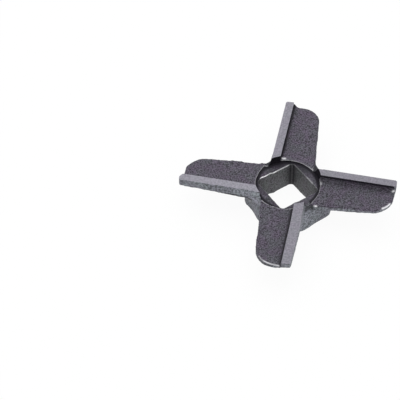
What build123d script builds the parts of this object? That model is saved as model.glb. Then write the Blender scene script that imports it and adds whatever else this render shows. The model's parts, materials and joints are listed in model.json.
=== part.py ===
from build123d import *
import os
from math import radians, sqrt, tan

# Four-armed meat grinder knife, cast in one piece and then ground along its cutting strips.
# The hub stands on z = 0 with its axis on Z, and the ground cutting face looks up.
# One arm points along +X. Its cutting edge is on the +Y side, so the knife turns anticlockwise from above.
# Lengths are in millimetres and angles in degrees.

# Whole knife
arm_count = 4
swing_diameter = 49.3
total_height = 9.1

# Arm outline, seen from above
lead_offset = 4.8
lead_angle = 1.1
trail_offset = 5.45
trail_angle = 3.8
gap_radius = 2.2
tip_corner_radius = 3.8
strip_tip_radius = 0.5

# Cutting strip and the rough back of the arm behind it
strip_width = 1.85
step_height = 1.35
step_foot_radius = 0.3
back_fall_root = 0.55
back_fall_tip = 0.15
back_edge_radius = 0.25
gap_wall_draft = 10

# Arm thickness under the cutting edge and at the trailing edge, at the root and at the tip
lead_depth_root = 3.0
lead_depth_tip = 1.9
trail_depth_root = 1.65
trail_depth_tip = 0.9

# Square hub under the arms, which widens upwards
hub_width = 15.3
hub_height = 4.7
hub_draft = 2.5
hub_corner_radius = 2.0
hub_root_radius = 1.4

# Rib under each arm
rib_reach = 20.5
rib_foot = 3.3
rib_offset = 0.4
rib_width = 4.0
rib_draft = 6
rib_edge_radius = 0.8

# Square drive hole and the round recess over it
drive_width = 10.0
drive_corner_radius = 0.9
drive_edge_break = 0.2
recess_diameter = 14.6
recess_depth = 2.0

# Distance by which a cutting shape passes the surface that it has to clear
overrun = 1.0

# Distance within which two points count as one
tolerance = 0.001

# Worked out from the sizes above
swing_radius = swing_diameter / 2
arm_angle = 360 / arm_count
recess_floor = total_height - recess_depth
back_top = total_height - step_height


def lead_y(x):
    """Leading edge of the arm along +X."""
    return lead_offset - x * tan(radians(lead_angle))


def step_y(x):
    """Inner edge of the cutting strip."""
    return lead_y(x) - strip_width


def trail_y(x):
    """Trailing edge of the arm along +X."""
    return x * tan(radians(trail_angle)) - trail_offset


tip_x = sqrt(swing_radius**2 - lead_y(swing_radius) ** 2)


def along_arm(at_root, at_tip, x):
    """Value at x of a size that runs evenly from the axis to the tip."""
    return at_root + (at_tip - at_root) * x / tip_x


def lead_under(x):
    """Height of the lower edge of the leading face."""
    return total_height - along_arm(lead_depth_root, lead_depth_tip, x)


def back_z(x):
    """Height of the rough back at the trailing edge."""
    return back_top - along_arm(back_fall_root, back_fall_tip, x)


def trail_under(x):
    """Height of the lower edge of the trailing face."""
    return back_z(x) - along_arm(trail_depth_root, trail_depth_tip, x)


def rib_side(z):
    """Distance of the rib's sides from its middle at a height."""
    return rib_width / 2 - (back_top - z) * tan(radians(rib_draft))


def at_step_foot(edge):
    """Whether an edge runs along the foot of the cutting strip."""
    return abs((edge @ 0).Z - back_top) + abs((edge @ 1).Z - back_top) < tolerance


def on_border(edge):
    """Whether an edge runs along the border of the outline."""
    middle = edge @ 0.5
    return outline.wire().distance_to((middle.X, middle.Y, 0)) < tolerance


# Outline of one arm
with BuildSketch() as arm_outline:
    with BuildLine():
        Polyline(
            (0, lead_y(0)),
            (tip_x, lead_y(tip_x)),
            (tip_x, trail_y(tip_x)),
            (0, trail_y(0)),
            close=True,
        )
    make_face()
    tip_corners = arm_outline.vertices().group_by(Axis.X)[-1].sort_by(Axis.Y)
    fillet(tip_corners[-1], strip_tip_radius)
    fillet(arm_outline.vertices().group_by(Axis.X)[-1].sort_by(Axis.Y)[0], tip_corner_radius)

# Outline of all arms, rounded where one arm runs into the next
with BuildSketch() as outline:
    with PolarLocations(0, arm_count):
        add(arm_outline.sketch)
    fillet(outline.vertices().sort_by_distance((0, 0, 0))[:arm_count], gap_radius)

# Square hub
with BuildPart() as hub:
    with BuildSketch() as hub_outline:
        Rectangle(hub_width, hub_width, rotation=arm_angle / 2)
        fillet(hub_outline.vertices(), hub_corner_radius)
    extrude(amount=total_height, taper=-hub_draft)

# Space over the rough back of one arm, down to its foot at the cutting strip.
# Its outer side leaves the gap to the next arm standing, and its inner end lies on that arm's cutting edge.
beside_next_arm = Plane(
    origin=Vector(0, lead_offset, 0).rotate(Axis.Z, -arm_angle),
    z_dir=Vector(0, 1, 0).rotate(Axis.Z, -arm_angle - lead_angle),
)
with BuildPart() as over_back:
    for x in (0, tip_x + overrun):
        lean = (total_height + overrun - back_z(x)) * tan(radians(gap_wall_draft))
        with BuildSketch(Plane.YZ.offset(x)):
            with BuildLine():
                Polyline(
                    (step_y(x), back_top),
                    (trail_y(x), back_z(x)),
                    (trail_y(x) - lean, total_height + overrun),
                    (step_y(x), total_height + overrun),
                    close=True,
                )
            make_face()
    loft(ruled=True)
    fillet(over_back.edges().filter_by(at_step_foot), step_foot_radius)
    split(bisect_by=beside_next_arm)

# Space under one arm, outside the hub and rounded where it meets the hub
with BuildPart() as under_arm:
    for x in (lead_offset, tip_x + overrun):
        slope = (lead_under(x) - trail_under(x)) / (lead_y(x) - trail_y(x))
        with BuildSketch(Plane.YZ.offset(x)):
            with BuildLine():
                Polyline(
                    (lead_y(x) + overrun, lead_under(x) + slope * overrun),
                    (trail_y(x) - overrun, trail_under(x) - slope * overrun),
                    (trail_y(x) - overrun, 0),
                    (lead_y(x) + overrun, 0),
                    close=True,
                )
            make_face()
    loft(ruled=True)
    add(hub.part, mode=Mode.SUBTRACT)
    ceiling = under_arm.faces().sort_by(Axis.Z)[-1]
    fillet(ceiling.edges().sort_by_distance((0, 0, total_height))[:3], hub_root_radius)

# Rib under one arm, which runs out towards the tip
with BuildPart() as rib:
    for x, foot in ((hub_width / 2, rib_foot), (rib_reach, lead_under(rib_reach))):
        inside_arm = (lead_under(x) + back_z(x)) / 2
        with BuildSketch(Plane.YZ.offset(x)):
            with BuildLine():
                Polyline(
                    (rib_offset - rib_side(inside_arm), inside_arm),
                    (rib_offset + rib_side(inside_arm), inside_arm),
                    (rib_offset + rib_side(foot), foot),
                    (rib_offset - rib_side(foot), foot),
                    close=True,
                )
            make_face()
    loft(ruled=True)
    underside = rib.faces().sort_by(Axis.Z)[0]
    fillet(underside.edges().sort_by(Axis.Y)[:: len(underside.edges()) - 1], rib_edge_radius)

# The knife
with BuildPart() as knife:
    with BuildSketch(Plane.XY.offset(hub_height)):
        add(outline.sketch)
    extrude(amount=total_height - hub_height)
    with PolarLocations(0, arm_count):
        add(over_back.part, mode=Mode.SUBTRACT)
    sunken = knife.faces().filter_by(lambda face: face.normal_at().Z > 0 and face.center().Z < back_top)
    rough_backs = sunken.sort_by(SortBy.AREA)[-arm_count:]
    fillet(rough_backs.edges().filter_by(on_border), back_edge_radius)
    with PolarLocations(0, arm_count):
        add(under_arm.part, mode=Mode.SUBTRACT)
    with BuildSketch() as hub_foot:
        add(hub_outline.sketch)
    extrude(amount=hub_height, taper=-hub_draft)
    with PolarLocations(0, arm_count):
        add(rib.part)
    with BuildSketch(Plane.XY.offset(recess_floor)):
        Circle(recess_diameter / 2)
    extrude(amount=recess_depth, mode=Mode.SUBTRACT)
    with BuildSketch() as drive:
        Rectangle(drive_width, drive_width, rotation=arm_angle / 2)
        fillet(drive.vertices(), drive_corner_radius)
    extrude(amount=total_height, mode=Mode.SUBTRACT)
    chamfer(knife.edges(Select.LAST).filter_by(Axis.Z, reverse=True), drive_edge_break)

knife.part.label = "grinder_knife"
os.makedirs("parts", exist_ok=True)
export_step(knife.part, "parts/grinder_knife.step")
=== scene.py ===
import json
import math

import bmesh
import bpy
import numpy as np
from mathutils import Matrix, Vector, noise

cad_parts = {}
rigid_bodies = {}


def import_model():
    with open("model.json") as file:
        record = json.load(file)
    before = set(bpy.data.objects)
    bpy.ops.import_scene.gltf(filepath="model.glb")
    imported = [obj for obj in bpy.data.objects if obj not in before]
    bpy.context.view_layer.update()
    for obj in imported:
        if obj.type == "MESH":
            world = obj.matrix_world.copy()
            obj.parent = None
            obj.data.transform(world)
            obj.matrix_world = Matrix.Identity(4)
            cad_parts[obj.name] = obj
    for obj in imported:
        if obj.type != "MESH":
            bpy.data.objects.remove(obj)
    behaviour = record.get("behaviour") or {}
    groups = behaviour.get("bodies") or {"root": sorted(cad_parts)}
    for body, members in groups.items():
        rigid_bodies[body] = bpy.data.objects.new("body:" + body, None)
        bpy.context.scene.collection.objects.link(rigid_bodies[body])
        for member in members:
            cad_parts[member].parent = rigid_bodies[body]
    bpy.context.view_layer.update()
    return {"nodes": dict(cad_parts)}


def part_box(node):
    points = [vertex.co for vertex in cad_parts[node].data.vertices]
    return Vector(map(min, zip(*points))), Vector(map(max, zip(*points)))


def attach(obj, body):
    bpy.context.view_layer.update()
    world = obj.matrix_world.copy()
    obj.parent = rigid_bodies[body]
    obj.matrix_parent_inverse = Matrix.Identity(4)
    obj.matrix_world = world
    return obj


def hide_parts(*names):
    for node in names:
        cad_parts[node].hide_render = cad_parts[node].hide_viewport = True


# Four-armed meat grinder knife, rough cast and ground bright along its cutting strips.
# Lengths in the dictionaries are millimetres and angles are degrees, unless a note says otherwise.
# Two numbers in round brackets are the ends of a range or of a gradual change, unless noted.
mm = 0.001

for leftover in list(bpy.data.objects):  # clear the start-up scene
    bpy.data.objects.remove(leftover)

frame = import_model()
scene = bpy.context.scene
print("frame loaded")


# Camera, standing in front of the knife and looking down on it

cameraView = {
    "place": (40.175, -300.489, 348.872),
    "aim": (-18.859, -6.912, 6.0),
    "roll": -0.508,
    "lens": 181.6,
    "sensor": 36,
    "nearest": 10,
    "farthest": 20000,
}


def makeCamera(v):
    camera = bpy.data.objects.new("photoCamera", bpy.data.cameras.new("photoCamera"))
    scene.collection.objects.link(camera)
    camera.data.lens = v["lens"]
    camera.data.sensor_width = v["sensor"]
    camera.data.clip_start = v["nearest"] * mm
    camera.data.clip_end = v["farthest"] * mm
    place = Vector(v["place"]) * mm
    look = (Vector(v["aim"]) * mm - place).to_track_quat("-Z", "Y").to_matrix().to_4x4()
    roll = Matrix.Rotation(math.radians(v["roll"]), 4, "Z")
    camera.matrix_world = Matrix.Translation(place) @ look @ roll
    scene.camera = camera


makeCamera(cameraView)
print("camera set")


# Even mesh of the knife, fine enough to carry the grain of the casting

knifeShape = {
    "cell": 0.18,  # side of one mesh face
    "meshDepth": 9,  # the mesh has 2 to this power cells across
    "weld": 0.002,  # points closer than this are joined first
    "topZ": 9.1,
    "backZ": 7.75,  # rough back at the foot of the strip
    "recessFloorZ": 7.1,
    "recessR": 7.3,
    "tipX": 24.27,
    "leadY": 4.8,
    "leadSlope": -0.0192,
    "stripWidth": 1.85,
    "trailY": -5.45,
    "trailSlope": 0.0664,
    "holeHalf": 5.0,
    "gapRadius": 2.2,  # rounding between two arms
    "blockZ": 4.7,  # top of the square block of the hub
    "darkStepZ": 8.45,  # the step of the arm along +X is painted near black above this, shade with dark scale
    # the wall between -Y and +X that didn't fill lies past this X and this Y, up to dropTo across the gap
    "dropX": 4.5,
    "dropY": -3.5,
    "dropTo": 1.15,
}


def evenMesh(node, v):
    mesh = frame["nodes"][node].data.copy()
    work = bmesh.new()
    work.from_mesh(mesh)
    bmesh.ops.remove_doubles(work, verts=work.verts, dist=v["weld"] * mm)
    work.to_mesh(mesh)
    work.free()
    piece = bpy.data.objects.new("castKnife", mesh)
    scene.collection.objects.link(piece)
    even = piece.modifiers.new("evenMesh", "REMESH")
    even.mode = "SHARP"
    even.octree_depth = v["meshDepth"]
    low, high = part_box(node)
    even.scale = max(high[i] - low[i] for i in range(3)) / mm / (2 ** v["meshDepth"] * v["cell"])
    even.use_remove_disconnected = False
    bpy.context.view_layer.objects.active = piece
    bpy.ops.object.modifier_apply(modifier=even.name)
    return piece


def readVectors(items, name):
    # one row for each point or face
    values = np.empty(len(items) * 3)
    items.foreach_get(name, values)
    return values.reshape(-1, 3)


knife = evenMesh("grinder_knife", knifeShape)
points = readVectors(knife.data.vertices, "co") / mm
normals = readVectors(knife.data.vertices, "normal")
faceMiddle = readVectors(knife.data.polygons, "center") / mm
faceNormal = readVectors(knife.data.polygons, "normal")
corners = np.array([face.vertices[:] for face in knife.data.polygons])
edges = np.array([edge.vertices[:] for edge in knife.data.edges])
count = len(points)
print("even mesh:", count, "points,", len(corners), "faces")


# Measures on the knife

thin = 0.05  # how far off a drawn surface a point still counts as on it
close = 0.1  # the same where the surface is less even
tiny = 0.01  # least distance that is divided by


def smooth(value, low, high):
    # 0 up to low, 1 past high
    t = np.clip((value - low) / (high - low), 0, 1)
    return t * t * (3 - 2 * t)


def fade(value, low, high):
    # 1 up to low, 0 past high
    return 1 - smooth(value, low, high)


def bell(value, middle, width):
    return np.exp(-(((value - middle) / width) ** 2))


def between(value, low, high):
    return (value > low) & (value < high)


def near(value, target, reach):
    return np.abs(value - target) < reach


def armOf(p):
    # 0 is the arm along +X, 1 along +Y, 2 along -X, 3 along -Y
    return np.round(np.degrees(np.arctan2(p[:, 1], p[:, 0])) / 90).astype(int) % 4


def gapOf(p):
    # each gap has the number of the arm before it
    return np.floor(np.degrees(np.arctan2(p[:, 1], p[:, 0])) / 90).astype(int) % 4


quarter = np.array([(1, 0), (0, 1), (-1, 0), (0, -1)])  # cosine and sine of each arm's direction


def toArm(p, arm):
    c, s = quarter[arm].T
    return np.stack([c * p[:, 0] + s * p[:, 1], -s * p[:, 0] + c * p[:, 1], p[:, 2]], 1)


def fromArm(p, arm):
    c, s = quarter[arm].T
    return np.stack([c * p[:, 0] - s * p[:, 1], s * p[:, 0] + c * p[:, 1], p[:, 2]], 1)


def leadLine(x, s=knifeShape):
    return s["leadY"] + s["leadSlope"] * x


def stepLine(x, s=knifeShape):
    return leadLine(x) - s["stripWidth"]


def trailLine(x, s=knifeShape):
    return s["trailY"] + s["trailSlope"] * x


def fromAxis(p):
    return np.hypot(p[:, 0], p[:, 1])


def squareSize(p):
    # half the width of the square, turned like the drive hole, that a point lies on
    return (np.abs(p[:, 0]) + np.abs(p[:, 1])) / math.sqrt(2)


def fromCorner(p):
    # the drive hole's corners lie on the X and Y axes
    return np.minimum(np.abs(p[:, 0]), np.abs(p[:, 1]))


def inFrontGap(p):
    # place across the gap between -Y and +X, and outwards in it
    return (p[:, 0] + p[:, 1]) / math.sqrt(2), (p[:, 0] - p[:, 1]) / math.sqrt(2)


def atOpenWall(p, s):
    across = inFrontGap(p)[0]
    return (p[:, 0] > s["dropX"]) & (p[:, 1] < s["dropY"]) & (across < s["dropTo"])


def onRecessFloor(p, s, past):
    return (fromAxis(p) < s["recessR"] + past) & near(p[:, 2], s["recessFloorZ"], close)


# Which finish each face has, found from where the true shape lies

finishOrder = [
    "groundSteel", "castTop", "castSideLit", "stepWall", "holeWall", "recessFloor", "recessWall", "rubbedEdgeHighlight",
]
ground, castTop, castSideLit, stepWall, holeWall, recessFloor, recessWall, rubbedEdgeHighlight = range(len(finishOrder))

finishPlaces = {
    # upward part of a face's direction, 0 on a wall and 1 on a level top
    "topUp": 0.5,
    "stripUp": 0.7,
    "stepUp": 0.75,
    "floorUp": 0.9,
    "chamferUp": (0.3, 0.95),
    "tipUp": (0.5, 0.93),
    "rimInward": 0.7,  # part that points to the axis
    # how far off the drawn place a face still belongs to it
    "topReach": 0.02,
    "floorReach": 0.03,
    "rimReach": 0.12,
    "chamferReach": 0.12,
    "holeReach": 0.25,
    "stepReach": 0.4,
    "openReach": 0.4,
    "openZ": (6.9, 7.3),  # the wall that didn't fill, at the recess's rim
    # edges rubbed bright and painted with a highlight: the drive hole's between +Y and -X, and part of a tip
    "chamfer": 0.1,  # middle of the chamfer, from the wall and from the recess floor
    "rubbedHighlightX": (-6.55, -0.7),
    "rubbedHighlightTips": [{"arm": 0, "y": (-3.4, -1.6)}],
    "tipX": 20.5,  # a tip's edge lies past this along the arm, and over tipZ
    "tipZ": 7.2,
}


def faceFinish(v, s):
    direction, place = faceNormal, faceMiddle
    up, height = direction[:, 2], place[:, 2]
    radius, square = fromAxis(place), squareSize(place)
    arm = armOf(place)
    x, y = toArm(place, arm)[:, :2].T
    finish = np.full(len(place), castSideLit)
    finish[(up > v["topUp"]) & (height > s["recessFloorZ"] + thin)] = castTop

    onStrip = between(y, stepLine(x) - thin, leadLine(x) + v["floorReach"])
    atTop = (height > s["topZ"] - v["topReach"]) & (up > v["stripUp"])
    finish[atTop & onStrip] = ground
    finish[atTop & ~onStrip] = castSideLit
    onStep = near(y, stepLine(x), v["stepReach"]) & (x < s["tipX"] - v["stepReach"])
    onStep = onStep & (height > s["backZ"] + v["topReach"]) & (up < v["stepUp"])
    # step walls painted near black: dark scale with painted shade
    finish[onStep] = stepWall
    finish[onStep & (arm == 0) & (height < s["darkStepZ"])] = castTop

    finish[(square < s["holeHalf"] + v["holeReach"]) & (np.abs(up) < v["floorUp"])] = holeWall
    onFloor = near(height, s["recessFloorZ"], v["floorReach"]) & (up > v["floorUp"])
    finish[(radius < s["recessR"] + thin) & onFloor] = recessFloor
    outward = (direction[:, :2] * place[:, :2]).sum(1) / np.maximum(radius, tiny)
    onRim = near(radius, s["recessR"], v["rimReach"]) & (height > s["recessFloorZ"])
    finish[onRim & (outward < -v["rimInward"])] = recessWall
    onOpenWall = atOpenWall(place, s) & (radius > s["recessR"] - v["openReach"])
    finish[onOpenWall & between(height, *v["openZ"])] = castSideLit

    # painted highlight on the rubbed chamfer of the drive hole and on tip edges
    onChamfer = near(square, s["holeHalf"] + v["chamfer"], v["chamferReach"])
    onChamfer = onChamfer & near(height, s["recessFloorZ"] - v["chamfer"], v["chamferReach"])
    onSide = between(place[:, 0], *v["rubbedHighlightX"]) & (place[:, 1] > 0)
    finish[onChamfer & onSide & between(up, *v["chamferUp"])] = rubbedEdgeHighlight
    atTip = (x > v["tipX"]) & between(height, v["tipZ"], s["backZ"] + v["topReach"])
    atTip = atTip & between(up, *v["tipUp"])
    for tip in v["rubbedHighlightTips"]:
        finish[atTip & (arm == tip["arm"]) & between(y, *tip["y"])] = rubbedEdgeHighlight
    return finish


finish = faceFinish(finishPlaces, knifeShape)


def spread(faceValue):
    # mean over the faces round each point
    total = np.zeros(count)
    used = np.zeros(count)
    for corner in corners.T:
        np.add.at(total, corner, faceValue)
        np.add.at(used, corner, 1)
    return total / np.maximum(used, 1)


groundShare = spread((finish == ground).astype(float))


# Shape changes that one casting has and a drawing doesn't.
# Each list has a place along the edge and the shift there. A positive shift of lead, step and trail is
# towards the leading side. Tip and root lists run across the arm and shift it outwards.

armFaults = [
    {  # along +X
        "lead": [(8, 0)],
        "step": [(8, 0)],
        "trail": [(8, 0), (21, 0), (24, 0.15)],
        "tip": [(-4, -1.0), (-3, -0.65), (-1, -0.35), (1.5, -0.12), (3, 0)],
        "root": [(2.9, 0.37), (4.5, 0.6)],
    },
    {  # along +Y
        "lead": [(8, 0)],
        "step": [(8, 0)],
        "trail": [(8, 0)],
        "tip": [(-4, -0.35), (-1, -0.15), (1.8, 0), (3, -0.1)],
        "root": [(2.7, 0.15), (4.8, 0.2)],
    },
    {  # along -X
        "lead": [(8, 0)],
        "step": [(8, 0)],
        "trail": [
            (5.5, -0.4), (6.3, -0.9), (7.3, -0.4), (10.8, -0.4), (11.5, -0.65), (13.5, -0.62), (14.5, -0.45),
            (20, -0.4), (23, 0),
        ],
        "tip": [(-4, -1.1), (-2, -0.8), (-1, -0.65), (1.5, -0.7), (2.6, -0.55), (3.0, -0.25), (3.4, 0)],
        "root": [(2.6, 0.2), (4.4, 0.1)],
    },
    {  # along -Y
        "lead": [(8, 0.1), (12, 0.3), (24, 0.2)],
        "step": [(7, -0.3), (12, -0.12), (24, 0)],
        "trail": [(7.5, -0.1), (8.8, -0.25), (10, 0.1), (18, 0.2), (24, 0.35)],
        "tip": [
            (-4, -1.0), (-2.9, -0.7), (-1.4, -0.4), (0, -0.22), (1, -0.17), (2, -0.28), (3, -0.45),
            (4.5, -0.6),
        ],
        "root": [(2.5, -0.2), (4.7, 0.15)],
    },
]

gapFaults = {
    # One for each gap, from the one after the arm along +X. The web there falls from the cutting edge
    # to the next arm's back within the ramp, and the gap's rounding is wider under that height.
    "gaps": [
        {"ramp": 0.4, "low": 7.3, "round": 4.9},
        {"ramp": 0.4, "low": 7.4, "round": 3.2},
        {"ramp": 0.9, "low": 7.15, "round": 2.2},
        {"ramp": 0.35, "low": 7.1, "round": 2.2},
    ],
    "webX": (4.0, 9.5),
    "roundTo": 9,  # distance from the gap's corner where the wider rounding has run out
    "turnFrom": (-35, -5),  # round the gap's corner
    "turnTo": (95, 125),
    "clearR": 7.75,
    "lowerZ": (5.0, 6.2),
    "upperZ": (7.4, 9.0),
}

castingFaults = {
    "clear": (0.4, 2.2),  # past the diagonal between two arms, where the sides begin to move
    "stripFade": 1.5,  # the strip's shift runs out this far behind the step
    "trailFade": (-4.0, 2.5),  # across the arm, where the trail's shift runs out
    "tipFrom": 18.0,
    "tipFull": 0.2,  # before the tip
    "stripEndKept": 0.8,  # share of the tip shift that the strip along -Y doesn't have
    "stripEndZ": (7.4, 8.8),
    "rootFade": (7.5, 9.5),  # along the arm, where the root's shift runs out
    "rootBehind": 0.4,  # and how far behind the step
    "rootZ": 0.3,  # it starts this far over the recess floor, and is complete as far under the top
    # slow and quick wander of the rough edges, the strip stays straight
    "wanderLength": 3.1,
    "quicker": 2.6,  # times shorter
    "wanderSeeds": (3.7, 9.2),
    "sideWander": (0.1, 0.06),  # depth of the slow one and of the quick one
    "sideAcross": (-3.5, 1.5),
    "sideAlong": (8.5, 12.0),
    "tipWander": (0.12, 0.08),
    "tipAlong": (20.0, 23.5),
    "tipBehind": 0.9,
    # lower edge of the cutting edge's face at the root of the arm along -X
    "sag": 0.2,
    "sagY": (3.0, 4.5),
    "sagZ": (6.6, 7.4),
    "sagX": 10.5,
    "sagReach": 3.0,
    # sloped fill behind the strip's end along +Y
    "endFill": 1.1,
    "endFillX": (23.3, 23.8),
    "endFillZ": (7.4, 7.65),
}

openWall = {  # the wall between -Y and +X that the metal didn't fill
    "from": (-53.0, -49.0),  # round the axis
    "to": (-38.0, -34.0),
    "inset": 0.5,
    "outward": (7.35, 7.6),
    "outTo": 8.6,
    "overBlock": (0.05, 0.4),  # over the square block
    "drop": 0.5,
    "dropRim": (-0.05, 0.3),  # from the recess's wall
    "dropFade": 0.25,
    "dropAcross": (-1.2, -0.9),
    "dropZ": (6.0, 7.0),
    "dropTop": 7.4,
}

hubFaults = {  # the square block isn't quite square
    "bulges": [  # place on the hub, reach and push outwards
        {"place": (5.5, -5.6, 0.8), "reach": 2.4, "push": 0.45},
        {"place": (9.6, -1.6, 3.0), "reach": 1.9, "push": 0.25},
        {"place": (-9.2, -1.5, 1.0), "reach": 2.2, "push": -0.4},
        {"place": (-8.0, -3.2, 0.6), "reach": 1.9, "push": -0.3},
        {"place": (-5.8, -5.5, 1.0), "reach": 1.5, "push": 0.35},
    ],
    "outward": (7.2, 7.7),
    "fromTop": (-1.2, 0.6),  # from the top of the block
}


def wander(p, length, seed):
    # slow noise, one value a point
    return np.array([noise.noise(Vector((a[0] / length, a[1] / length, a[2] / length + seed))) for a in p])


def shiftAt(arm, edge, place):
    # the shift that each point's own arm has at a place along one of its edges
    shift = np.zeros(len(place))
    for k, fault in enumerate(armFaults):
        at, amount = zip(*fault[edge])
        shift[arm == k] = np.interp(place[arm == k], at, amount)
    return shift


def shapeGaps(p, v, s):
    clearOfRecess = smooth(fromAxis(p), s["recessR"] + thin, v["clearR"])
    for k, gap in enumerate(v["gaps"]):
        arm = np.full(len(p), k)
        x, y, z = toArm(p, arm).T
        past = y - leadLine(x)  # past this arm's cutting edge
        beside = x + trailLine(y)  # clear of the next arm's back
        onWeb = between(x, *v["webX"]) & (past > 0) & (z > gap["low"])
        fall = (z - gap["low"]) * smooth(past, 0, gap["ramp"]) * onWeb
        far = np.hypot(beside, past)
        pushed = np.interp(far, [0, s["gapRadius"], v["roundTo"]], [0, gap["round"], v["roundTo"]])
        wider = np.where(far < v["roundTo"], pushed, far) / np.maximum(far, tiny) - 1
        turn = np.degrees(np.arctan2(past, beside))
        wider = wider * smooth(turn, *v["turnFrom"]) * fade(turn, *v["turnTo"]) * clearOfRecess
        wider = wider * smooth(z, *v["lowerZ"]) * fade(z, *v["upperZ"]) * (x > 0) * (y > 0)
        p = fromArm(np.stack([x + beside * wider, y + past * wider, z - fall], 1), arm)
    return p


def shiftEdges(p, v, s):
    arm = armOf(p)
    x, y, z = toArm(p, arm).T.copy()
    clear = smooth(x - np.abs(y), *v["clear"])
    behind = stepLine(x) - y
    onLead = fade(behind, 0, v["stripFade"])
    tipShift = shiftAt(arm, "tip", y) * smooth(x, v["tipFrom"], s["tipX"] - v["tipFull"])
    tipShift *= 1 - v["stripEndKept"] * (arm == 3) * onLead * smooth(z, *v["stripEndZ"])
    acrossStrip = np.clip(-behind / s["stripWidth"], 0, 1)
    stepShift, leadShift = shiftAt(arm, "step", x), shiftAt(arm, "lead", x)
    stripShift = (stepShift + (leadShift - stepShift) * acrossStrip) * onLead
    trailShift = shiftAt(arm, "trail", x) * np.where(arm == 3, 1 - onLead, fade(y, *v["trailFade"]))
    atStripEnd = smooth(z, s["recessFloorZ"] + v["rootZ"], s["topZ"] - v["rootZ"])
    atStripEnd = atStripEnd * fade(behind, 0, v["rootBehind"])
    rootShift = shiftAt(arm, "root", y) * atStripEnd * fade(x, *v["rootFade"])

    flattened = p * (1, 1, 0)
    slow = wander(flattened, v["wanderLength"], v["wanderSeeds"][0])
    quick = wander(flattened, v["wanderLength"] / v["quicker"], v["wanderSeeds"][1])
    sideWander = v["sideWander"][0] * slow + v["sideWander"][1] * quick
    sideWander *= fade(y, *v["sideAcross"]) * smooth(x, *v["sideAlong"])
    tipWander = v["tipWander"][0] * slow + v["tipWander"][1] * quick
    tipWander *= smooth(x, *v["tipAlong"]) * smooth(behind, 0, v["tipBehind"])
    y += (stripShift + trailShift + sideWander) * clear
    x += tipShift + rootShift + tipWander

    atSag = smooth(y, *v["sagY"]) * fade(z, *v["sagZ"]) * bell(x, v["sagX"], v["sagReach"])
    z -= v["sag"] * (arm == 2) * atSag
    behind = stepLine(x) - y
    fill = (1 - np.clip(behind / v["endFill"], 0, 1)) ** 2 * (behind > 0) * (arm == 1)
    fill *= smooth(x, *v["endFillX"]) * smooth(z, *v["endFillZ"])
    z += fill * np.maximum(s["topZ"] - z, 0)
    return fromArm(np.stack([x, y, z], 1), arm)


def emptyWall(p, v, s):
    x, y, z = p.T.copy()
    across, out = inFrontGap(p)
    angle = np.degrees(np.arctan2(y, x))
    lowZ, highZ = (s["blockZ"] + over for over in v["overBlock"])
    inset = smooth(angle, *v["from"]) * fade(angle, *v["to"])
    inset = inset * smooth(out, *v["outward"]) * (out < v["outTo"]) * smooth(z, lowZ, highZ)
    x -= v["inset"] * inset / math.sqrt(2)
    y += v["inset"] * inset / math.sqrt(2)
    drop = smooth(np.hypot(x, y), *(s["recessR"] + past for past in v["dropRim"]))
    drop = drop * atOpenWall(np.stack([x, y], 1), s) * fade(across, s["dropTo"] - v["dropFade"], s["dropTo"])
    drop = drop * smooth(across, *v["dropAcross"]) * smooth(z, *v["dropZ"]) * (z < v["dropTop"])
    return np.stack([x, y, z - v["drop"] * drop], 1)


def bulgeHub(p, v, s):
    lowZ, highZ = (s["blockZ"] + over for over in v["fromTop"])
    for bulge in v["bulges"]:
        place = np.array(bulge["place"])
        outwards = place * (1, 1, 0) / math.hypot(*place[:2])
        away = np.linalg.norm(p - place, axis=1)
        onBlock = smooth(fromAxis(p), *v["outward"]) * fade(p[:, 2], lowZ, highZ)
        p = p + (bulge["push"] * bell(away, 0, bulge["reach"]) * onBlock)[:, None] * outwards
    return p


drawn = points.copy()  # the shape as drawn, which says where painted shade and dirt, wear and painted highlights lie
points = shapeGaps(points, gapFaults, knifeShape)
points = shiftEdges(points, castingFaults, knifeShape)
points = emptyWall(points, openWall, knifeShape)
points = bulgeHub(points, hubFaults, knifeShape)
print("casting faults added")


# Rounded cast edges and the sand grain

castGrain = {
    "edgeRounds": 2,
    "edgeShare": 0.4,
    "edgeFade": 0.2,  # share of ground faces round a point where the rounding stops
    "coarse": {"length": 1.3, "depth": 0.05, "seed": 1.3},
    "fine": {"length": 0.45, "depth": 0.055, "seed": 5.1},
    "stripEdge": 0.25,  # share of the grain that the strip's edges have
    "stripInside": 0.99,  # share of ground faces round a point past which it has no grain
}


def relax(p, rounds, share, weight):
    for _ in range(rounds):
        total = np.zeros_like(p)
        used = np.zeros(count)
        for here, there in (edges.T, edges.T[::-1]):
            np.add.at(total, here, p[there])
            np.add.at(used, here, 1)
        p = p + (total / used[:, None] - p) * (share * weight)[:, None]
    return p


def addGrain(p, v):
    depth = sum(v[k]["depth"] * wander(p, v[k]["length"], v[k]["seed"]) for k in ("coarse", "fine"))
    onStrip = groundShare > 0
    move = normals * (depth * np.where(onStrip, v["stripEdge"], 1))[:, None]
    move[onStrip, 2] = 0
    move[groundShare > v["stripInside"]] = 0
    return p + move


castShare = fade(groundShare, 0, castGrain["edgeFade"])
smoothPoints = relax(points, castGrain["edgeRounds"], castGrain["edgeShare"], castShare)
points = addGrain(smoothPoints, castGrain)
low, high = (np.array(corner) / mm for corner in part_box("grinder_knife"))
points = np.clip(points, low, high)
knife.data.vertices.foreach_set("co", (points * mm).ravel())
knife.data.update()
print("cast grain added")


# Painted shade with some dirt, painted highlights on worn edges and burrs, and painted light and tone, one
# value a point.
# A line runs through some points, and its reach is how far the level carries to the sides.

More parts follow.
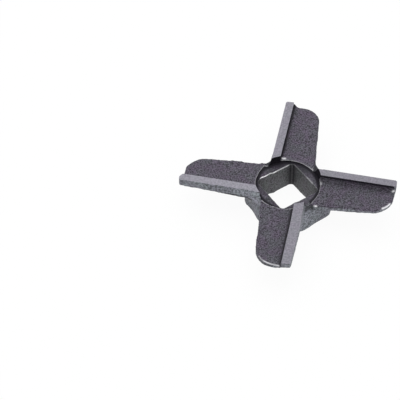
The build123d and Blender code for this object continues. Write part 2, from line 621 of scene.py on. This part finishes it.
shadeAndDirt = {
    # painted shade at the foot of the step, one for each arm: a dark line in the step's corner and a softer
    # painted shadow of the step past it
    "lineReach": [0.3, 0.38, 0.42, 0.72],
    "lineDark": [0.2, 0.95, 0.7, 1.0],
    "lineFade": (0.5, 1.6),  # shares of the reach
    "lineEnd": (23.2, 23.7),  # where the line along -Y runs out
    "softReach": [3.0, 1.0, 1.5, 2.3],
    "softDark": [0.33, 0.2, 0.12, 0.3],
    "backOver": 0.4,  # how far up the step they reach
    "backUp": 0.1,  # least upward part of the surface's direction
    "rimReach": 0.9,  # painted shade in a dark ring round the recess floor, with a dark deposit
    "rimFade": 0.4,
    # painted shade on the back of the recess floor, under its back wall
    "recessBack": 0.7,
    "recessBackY": (3.2, 6.2),
    "corners": [  # dark stripes down the drive hole beside its corners: painted shade of the concave corners, with some oxide
        {"away": 0.33, "width": 0.2, "level": 0.9},
        {"away": 0.4, "width": 0.8, "level": 0.45},
    ],
    "cornerReach": 0.08,
    "cornerTop": 0.3,  # under the recess floor
    "webs": [0.9, 0.85, 0, 0],  # painted shade on the top of the web in each gap, between two arms
    "webPast": 0.06,  # past the cutting edge
    "webX": 5.0,
    "webZ": 7.25,
    "webR": 8.6,
    # dark lines of painted shade along edges and rims and under overhangs
    "lines": [
        {  # rim of the recess at the wall that didn't fill
            "ends": [(5.7, -4.2, 7.1), (6.15, -4.6, 7.07), (6.6, -5.0, 6.95)],
            "reach": 0.17, "level": 1.0,
        },
        {  # back edge of the arm along +X, near its root
            "ends": [(7.6, -4.8, 7.09), (9.3, -4.6, 7.13), (11.0, -4.5, 7.13), (13.0, -4.4, 7.13)],
            "reach": 0.16, "level": 0.65,
        },
        {  # under the cutting edge of the arm along -X
            "ends": [(-13.5, -4.55, 6.65), (-10.6, -4.6, 6.5), (-8.5, -4.65, 6.5)],
            "reach": 0.32, "level": 1.0,
        },
        {  # hub under the same arm's root
            "ends": [(-8.7, -2.2, 3.45), (-7.83, -3.2, 4.3)],
            "reach": 0.3, "level": 0.9,
        },
        {  # rim of the recess between -X and -Y
            "ends": [(-5.4, -5.0, 7.15), (-5.0, -5.0, 7.15)],
            "reach": 0.25, "level": 0.9,
        },
        {  # face under the tip along -Y
            "ends": [(-3.1, -21.9, 7.13), (-2.1, -23.0, 7.13), (-0.7, -23.8, 7.2), (0.3, -24.0, 7.3)],
            "reach": 0.3, "level": 0.75,
        },
    ],
}

# painted highlights on edges, rims and burrs, where the metal is also worn bright
wearAndHighlight = {
    "holeRim": [0.24, 0, 0, 0],  # painted highlight on the hole's edge after the corner at 0, 90, 180 and 270 degrees
    "holeReach": 0.16,
    "holeCorner": (0.3, 0.8),
    "recessRim": [0.25, 0.35, 0.3, 0.45],  # painted highlight on the recess's rim at the foot of each arm
    "rimReach": 0.06,
    "rimOver": 0.08,  # over the recess floor
    "rimUp": 0.3,  # least upward part of the surface's direction
    # painted highlights along burrs and edges
    "lines": [
        {  # burr at the chipped root of the arm along +X
            "ends": [(6.75, -5.0, 7.0), (7.3, -4.82, 7.14)],
            "reach": 0.2, "level": 1.0,
        },
        {  # burr between the strip along +Y and the recess
            "ends": [(-2.4, 7.5, 7.75), (-1.85, 7.6, 7.75)],
            "reach": 0.22, "level": 1.0,
        },
        {  # hub under the root of the arm along -X
            "ends": [(-8.5, -2.3, 2.95), (-7.8, -3.1, 3.75)],
            "reach": 0.18, "level": 0.3,
        },
        {  # rim of the recess at the arm along +X
            "ends": [(7.35, 1.9, 7.6), (7.4, 1.3, 7.6)],
            "reach": 0.15, "level": 0.45,
        },
        {  # edge of the drive hole between +X and +Y
            "ends": [(4.0, 3.2, 7.05), (5.3, 1.9, 7.05)],
            "reach": 0.15, "level": 0.4,
        },
        {  # tip along -Y
            "ends": [(-2.75, -21.9, 7.62), (-2.1, -22.75, 7.62), (-1.5, -23.1, 7.6)],
            "reach": 0.14, "level": 0.35,
        },
        {
            "ends": [(-1.5, -23.1, 7.6), (-0.5, -23.54, 7.62), (0.42, -23.75, 7.64), (1.95, -23.86, 7.64)],
            "reach": 0.13, "level": 0.9,
        },
        {  # tip along +X
            "ends": [(21.99, -3.17, 7.54), (22.51, -2.79, 7.51), (23.1, -2.17, 7.54), (23.47, -1.6, 7.59)],
            "reach": 0.2, "level": 1.0,
        },
        {
            "ends": [(23.62, 2.1, 7.75), (23.82, 2.28, 7.76)],
            "reach": 0.21, "level": 1.0,
        },
    ],
}

# painted light and shade on faces that the lamps and the pale floor light differently, and the strips' tone
paintedLightAndTone = {
    "strips": [0.9, 0.99, 1.1, 0.92],  # ground strip of each arm
    "stripShare": 0.2,  # share of ground faces round a point past which it belongs to the strip
    # face under the cutting edge at the root of the arm along -X, painted lighter as a face turned to the
    # front
    "leadRoot": 1.5,
    "leadRootX": (9.0, 14.0),
    "leadRootPast": 0.9,  # past the step
    "leadRootZ": 5.0,
    # wall between -Y and +X that didn't fill, painted darker as shade deep between two arms
    "openWall": 0.4,
    "openWallReach": 0.4,  # inside the recess's wall
    "openWallOut": 6.5,
    "openWallTop": 7.3,
    "openWallAcross": (-1.3, 0.5),
    "openWallRise": 1.5,  # over the square block
    # face under the back of the arm along +X, painted lighter as a face turned to the front
    "trailFace": 1.15,
    "trailFaceX": 9,
    "trailFaceReach": 0.25,  # inside the trail line
    "trailFaceTop": 7.3,
    # hub wall between -Y and +X, painted lighter as a face turned to the front, from one end to the other
    "hubFront": (1.5, 1.15),
    "hubFrontAcross": (-2.5, 4.5),
    "hubFrontOut": 7.3,
    "hubFrontOver": 0.5,  # over the square block
    "holeLeft": 1.3,  # wall of the hole between +Y and -X, painted lighter as the better lit wall
    "holeRight": 0.92,  # between +X and +Y, painted darker as the wall in shade
    "recessRight": 1.2,  # recess floor on the +X side, painted lighter as the better lit part
}


def nearLine(p, line):
    best = np.full(len(p), np.inf)
    ends = [np.array(end) for end in line["ends"]]
    for start, end in zip(ends, ends[1:]):
        along = end - start
        t = np.clip((p - start) @ along / (along @ along), 0, 1)
        best = np.minimum(best, np.linalg.norm(p - start - t[:, None] * along, axis=1))
    return line["level"] * bell(best, 0, line["reach"])


def highest(levels, lines, moved):
    return np.clip(np.maximum.reduce(levels + [nearLine(moved, line) for line in lines]), 0, 1)


# painted shade, with some dirt and dark deposit, one value a point
def shadeAndDirtLevel(p, moved, v, s):
    arm, radius, height = armOf(p), fromAxis(p), p[:, 2]
    x, y = toArm(p, arm)[:, :2].T
    behind = stepLine(x) - y
    onBack = (behind > -close) & (radius > s["recessR"] - thin)
    onBack = onBack & (height < s["backZ"] + v["backOver"]) & (normals[:, 2] > v["backUp"])
    # painted shade at the step's foot: a dark line and a softer painted shadow past it
    reach = np.array(v["lineReach"])[arm]
    foot = np.array(v["lineDark"])[arm] * onBack * fade(behind, *(reach * share for share in v["lineFade"]))
    foot *= np.where(arm == 3, fade(x, *v["lineEnd"]), 1)
    soft = np.array(v["softDark"])[arm] * onBack * fade(behind, 0, np.array(v["softReach"])[arm])

    # painted shade round the recess's rim, partly a dark deposit, and at its back
    inRecess = onRecessFloor(p, s, close)
    ringFrom = s["recessR"] - v["rimReach"]
    ring = smooth(radius, ringFrom, ringFrom + v["rimFade"]) * inRecess * ~atOpenWall(p, s)
    atBack = v["recessBack"] * smooth(p[:, 1], *v["recessBackY"]) * inRecess

    # painted shade in the drive hole's corners
    stripe = sum(band["level"] * bell(fromCorner(p), band["away"], band["width"]) for band in v["corners"])
    inHole = squareSize(p) < s["holeHalf"] + v["cornerReach"]
    stripe = stripe * inHole * (height < s["recessFloorZ"] - v["cornerTop"])

    # painted shade on the webs between the arms
    gap = gapOf(p)
    x, y = toArm(p, gap)[:, :2].T
    onWeb = (y > leadLine(x) + v["webPast"]) & (x > v["webX"]) & (height > v["webZ"]) & (radius < v["webR"])
    web = np.array(v["webs"])[gap] * onWeb
    return highest([foot, soft, ring, atBack, stripe, web], v["lines"], moved)


# painted highlights on worn edges, rims and burrs
def wearAndHighlightLevel(p, moved, v, s):
    height, floorZ = p[:, 2], s["recessFloorZ"]
    onHoleRim = squareSize(p) < s["holeHalf"] + v["holeReach"]
    onHoleRim = onHoleRim & between(height, floorZ - v["holeReach"], floorZ + close)
    holeRim = np.array(v["holeRim"])[gapOf(p)] * onHoleRim * smooth(fromCorner(p), *v["holeCorner"])
    onRecessRim = near(fromAxis(p), s["recessR"], v["rimReach"]) & (normals[:, 2] > v["rimUp"])
    onRecessRim = onRecessRim & between(height, floorZ + v["rimOver"], s["backZ"] + close)
    recessRim = np.array(v["recessRim"])[armOf(p)] * onRecessRim
    return highest([holeRim, recessRim], v["lines"], moved)


# painted light and shade, and the strips' tone, as a factor on the colour
def paintedLightAndToneLevel(p, v, s):
    arm, radius, height = armOf(p), fromAxis(p), p[:, 2]
    x, y = toArm(p, arm)[:, :2].T
    across, out = inFrontGap(p)
    onStrip = groundShare > v["stripShare"]
    level = np.where(onStrip, np.array(v["strips"])[arm], 1.0)

    underEdge = ~onStrip & (arm == 2) & (y > stepLine(x) + v["leadRootPast"]) & (height > v["leadRootZ"])
    level += (v["leadRoot"] - 1) * underEdge * fade(x, *v["leadRootX"])

    onOpenWall = (radius > s["recessR"] - v["openWallReach"]) & (out > v["openWallOut"])
    onOpenWall = onOpenWall & (height < v["openWallTop"]) & (across < s["dropTo"] + close)
    overBlock = smooth(height, s["blockZ"], s["blockZ"] + v["openWallRise"])
    level -= (1 - v["openWall"]) * onOpenWall * smooth(across, *v["openWallAcross"]) * overBlock

    onTrailFace = (arm == 0) & (y < trailLine(x) + v["trailFaceReach"])
    onTrailFace = onTrailFace & (x > v["trailFaceX"]) & (height < v["trailFaceTop"])
    level += (v["trailFace"] - 1) * onTrailFace

    first, last = v["hubFront"]
    hubFront = first + (last - first) * smooth(across, *v["hubFrontAcross"])
    level += (hubFront - 1) * (out > v["hubFrontOut"]) * (height < s["blockZ"] + v["hubFrontOver"])

    inHole = squareSize(p) < s["holeHalf"] + thin
    onRight, atBack = p[:, 0] > 0, p[:, 1] > 0
    level[inHole & atBack & (p[:, 0] < 0)] = v["holeLeft"]
    level[inHole & atBack & onRight] = v["holeRight"]
    level[onRecessFloor(p, s, 0) & onRight & ~inHole & ~onOpenWall] = v["recessRight"]
    return level


def keepLevel(name, level):
    layer = knife.data.attributes.new(name, "FLOAT", "POINT")
    layer.data.foreach_set("value", level.astype(np.float32))


# painted shade and dirt, painted highlights and wear, and painted light and tone, kept on the mesh
keepLevel("shadeAndDirt", shadeAndDirtLevel(drawn, smoothPoints, shadeAndDirt, knifeShape))
keepLevel("wearAndHighlight", wearAndHighlightLevel(drawn, smoothPoints, wearAndHighlight, knifeShape))
keepLevel("paintedLightAndTone", paintedLightAndToneLevel(drawn, paintedLightAndTone, knifeShape))
# painted shade, painted highlights and painted light are placed here along with dirt and wear
print("dirt and wear placed")


# Finishes

finishes = {
    "groundSteel": {
        "colour": (0.285, 0.275, 0.32), "spread": 0.19, "drift": 0.012,
        "metal": 0.8, "rough": 0.42, "shine": 0.5, "grain": 2400, "bump": 0.03,
    },
    "castTop": {
        "colour": (0.076, 0.068, 0.092), "spread": 0.8, "drift": 0.06,
        "metal": 0.2, "rough": 0.62, "shine": 0.35, "grain": 3400, "bump": 0.6,
    },
    # the cast's sides, painted lighter than its top for the light they catch from the front
    "castSideLit": {
        "colour": (0.168, 0.176, 0.203), "spread": 0.6, "drift": 0.03,
        "metal": 0.2, "rough": 0.6, "shine": 0.4, "grain": 2400, "bump": 0.5,
    },
    # near black: dark scale on the unground step with painted shade
    "stepWall": {
        "colour": (0.02, 0.018, 0.026), "spread": 0.4, "drift": 0.06,
        "metal": 0, "rough": 0.75, "shine": 0.1, "grain": 2400, "bump": 0.3,
    },
    "holeWall": {
        "colour": (0.12, 0.122, 0.132), "spread": 0.5, "drift": 0.04,
        "metal": 0.2, "rough": 0.6, "shine": 0.4, "grain": 2400, "bump": 0.4,
    },
    "recessFloor": {
        "colour": (0.06, 0.055, 0.072), "spread": 0.5, "drift": 0.06,
        "metal": 0.1, "rough": 0.65, "shine": 0.2, "grain": 2400, "bump": 0.4,
    },
    # near black: painted shade on the recess's wall, with a dark residue
    "recessWall": {
        "colour": (0.01, 0.009, 0.013), "spread": 0.4, "drift": 0.06,
        "metal": 0, "rough": 0.75, "shine": 0.1, "grain": 2400, "bump": 0.3,
    },
    # edges rubbed bright, painted lighter as a highlight
    "rubbedEdgeHighlight": {
        "colour": (0.6, 0.6, 0.62), "spread": 0.4, "drift": 0.012,
        "metal": 0.3, "rough": 0.4, "shine": 0.5, "grain": 1500, "bump": 0.1,
    },
}

finishShare = {
    # colour of the painted shade and dirt, and of the painted highlights on worn edges
    "shadeAndDirtColour": (0.010, 0.009, 0.013),
    "wearAndHighlightColour": (0.9, 0.9, 0.93),
    "driftScale": 420,
    # the colour drifts between violet and green: what each adds to red, green and blue
    "driftEnds": [(1, -1 / 2, 1 / 3), (-1 / 2, 1, -1)],
    "noiseDetail": 2,
    "noiseRange": (0.35, 0.65),  # part of the noise that is stretched to the full spread or drift
    "roughSpread": 0.08,
    "bumpHeight": 0.15,
    "sharpAngle": 42,
}


def addNode(nodes, kind, values):
    node = nodes.new(kind)
    for socket, value in values.items():
        node.inputs[socket].default_value = value
    return node


def addNoise(nodes, links, scale, detail):
    place = nodes.new("ShaderNodeTexCoord")
    texture = addNode(nodes, "ShaderNodeTexNoise", {"Scale": scale, "Detail": detail})
    links.new(place.outputs["Object"], texture.inputs["Vector"])
    return texture.outputs["Fac"]


def addRange(nodes, links, source, values):
    stretch = addNode(nodes, "ShaderNodeMapRange", values)
    links.new(source, stretch.inputs["Value"])
    return stretch.outputs["Result"]


def readLevel(nodes, name):
    level = nodes.new("ShaderNodeAttribute")
    level.attribute_name = name
    return level.outputs["Fac"]


def driftColour(nodes, links, v, shared):
    ramp = nodes.new("ShaderNodeValToRGB")
    for stop, position, ends in zip(ramp.color_ramp.elements, shared["noiseRange"], shared["driftEnds"]):
        stop.position = position
        stop.color = (*(part * (1 + v["drift"] * end) for part, end in zip(v["colour"], ends)), 1)
    links.new(addNoise(nodes, links, shared["driftScale"], shared["noiseDetail"]), ramp.inputs["Fac"])
    return ramp.outputs["Color"]


def makeFinish(name, v, shared):
    material = bpy.data.materials.new(name)
    material.use_nodes = True
    nodes, links = material.node_tree.nodes, material.node_tree.links
    shader = nodes["Principled BSDF"]
    shader.inputs["Metallic"].default_value = v["metal"]
    shader.inputs["Specular IOR Level"].default_value = v["shine"]

    grain = addNoise(nodes, links, v["grain"], shared["noiseDetail"])
    noiseLow, noiseHigh = shared["noiseRange"]
    speckle = addRange(nodes, links, grain, {
        "From Min": noiseLow, "From Max": noiseHigh, "To Min": 1 - v["spread"], "To Max": 1 + v["spread"],
    })
    last = driftColour(nodes, links, v, shared)
    # tone carries painted light and shade on some faces
    for factor in (speckle, readLevel(nodes, "paintedLightAndTone")):
        lighter = nodes.new("ShaderNodeVectorMath")
        lighter.operation = "SCALE"
        links.new(last, lighter.inputs[0])
        links.new(factor, lighter.inputs["Scale"])
        last = lighter.outputs["Vector"]
    # painted shade and dirt darken the colour, painted highlights on worn edges lighten it
    for layer, over in (("shadeAndDirt", "shadeAndDirtColour"), ("wearAndHighlight", "wearAndHighlightColour")):
        mix = nodes.new("ShaderNodeMix")
        mix.data_type = "RGBA"
        mix.inputs["B"].default_value = (*shared[over], 1)
        links.new(readLevel(nodes, layer), mix.inputs["Factor"])
        links.new(last, mix.inputs["A"])
        last = mix.outputs["Result"]
    links.new(last, shader.inputs["Base Color"])

    gloss = addRange(nodes, links, grain, {
        "To Min": v["rough"] - shared["roughSpread"], "To Max": v["rough"] + shared["roughSpread"],
    })
    links.new(gloss, shader.inputs["Roughness"])
    bumpValues = {"Strength": v["bump"], "Distance": shared["bumpHeight"] * mm}
    bump = addNode(nodes, "ShaderNodeBump", bumpValues)
    links.new(grain, bump.inputs["Height"])
    links.new(bump.outputs["Normal"], shader.inputs["Normal"])
    return material


knife.data.materials.clear()
for name in finishOrder:
    knife.data.materials.append(makeFinish(name, finishes[name], finishShare))
knife.data.polygons.foreach_set("material_index", finish.astype(np.int32))
knife.data.polygons.foreach_set("use_smooth", np.ones(len(finish), dtype=bool))
knife.data.set_sharp_from_angle(angle=math.radians(finishShare["sharpAngle"]))
knife.data.update()
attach(knife, "root")
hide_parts("grinder_knife")
print("finishes set")


# Floor, lamps and background

studio = {
    "floorSize": 4000,
    "floorDrop": 0.02,  # under the hub, so that the two don't share a plane
    "floorColour": (0.92, 0.92, 0.92),
    "floorRough": 0.9,
    "floorWhite": 0.94,  # share of plain white in what the camera and reflections see
    "worldLevel": 0.3,
    "lamps": {
        "keyLamp": {"place": (-60, 150, 600), "size": 900, "power": 4.3},
        "leftLamp": {"place": (-300, -300, 350), "size": 350, "power": 0.5},
        "rightLamp": {"place": (350, -250, 300), "size": 350, "power": 0.4},
    },
}


def seenDirectly(nodes, links):
    # 1 for camera, glossy and transmission rays
    ray = nodes.new("ShaderNodeLightPath")
    last = ray.outputs["Is Camera Ray"]
    for kind in ("Is Glossy Ray", "Is Transmission Ray"):
        either = nodes.new("ShaderNodeMath")
        either.operation = "MAXIMUM"
        links.new(last, either.inputs[0])
        links.new(ray.outputs[kind], either.inputs[1])
        last = either.outputs[0]
    return last


def mixShaders(nodes, links, factor, first, second):
    mix = nodes.new("ShaderNodeMixShader")
    links.new(factor, mix.inputs["Fac"])
    links.new(first, mix.inputs[1])
    links.new(second, mix.inputs[2])
    return mix.outputs["Shader"]


def makePaper(v):
    paper = bpy.data.materials.new("floorPaper")
    paper.use_nodes = True
    nodes, links = paper.node_tree.nodes, paper.node_tree.links
    shader = nodes["Principled BSDF"]
    shader.inputs["Base Color"].default_value = (*v["floorColour"], 1)
    shader.inputs["Roughness"].default_value = v["floorRough"]
    shader.inputs["Specular IOR Level"].default_value = 0
    white = nodes.new("ShaderNodeEmission")
    share = nodes.new("ShaderNodeMath")
    share.operation = "MULTIPLY"
    share.inputs[1].default_value = v["floorWhite"]
    links.new(seenDirectly(nodes, links), share.inputs[0])
    lit = mixShaders(nodes, links, share.outputs[0], shader.outputs["BSDF"], white.outputs["Emission"])
    # from below the floor can be looked through
    side = nodes.new("ShaderNodeNewGeometry")
    clear = nodes.new("ShaderNodeBsdfTransparent")
    seen = mixShaders(nodes, links, side.outputs["Backfacing"], lit, clear.outputs["BSDF"])
    links.new(seen, nodes["Material Output"].inputs["Surface"])
    return paper


def makeFloor(v):
    half = v["floorSize"] * mm / 2
    z = -v["floorDrop"] * mm
    mesh = bpy.data.meshes.new("floor")
    sheet = [(-half, -half, z), (half, -half, z), (half, half, z), (-half, half, z)]
    mesh.from_pydata(sheet, [], [(0, 1, 2, 3)])
    mesh.materials.append(makePaper(v))
    floor = bpy.data.objects.new("floor", mesh)
    scene.collection.objects.link(floor)


def makeWorld(v):
    world = bpy.data.worlds.new("studioWorld")
    scene.world = world
    world.use_nodes = True
    nodes, links = world.node_tree.nodes, world.node_tree.links
    sky = nodes["Background"]
    sky.inputs["Color"].default_value = (1, 1, 1, 1)
    level = addRange(nodes, links, seenDirectly(nodes, links), {"To Min": v["worldLevel"], "To Max": 1})
    links.new(level, sky.inputs["Strength"])


def makeLamps(v):
    for name, lamp in v["lamps"].items():
        data = bpy.data.lights.new(name, "AREA")
        data.size = lamp["size"] * mm
        data.energy = lamp["power"]
        holder = bpy.data.objects.new(name, data)
        scene.collection.objects.link(holder)
        holder.location = Vector(lamp["place"]) * mm
        holder.rotation_euler = (-holder.location).to_track_quat("-Z", "Y").to_euler()
        holder.visible_glossy = False  # metal shows the white room, not the lamp


makeFloor(studio)
makeWorld(studio)
makeLamps(studio)
scene.view_settings.view_transform = "Standard"
print("studio set")
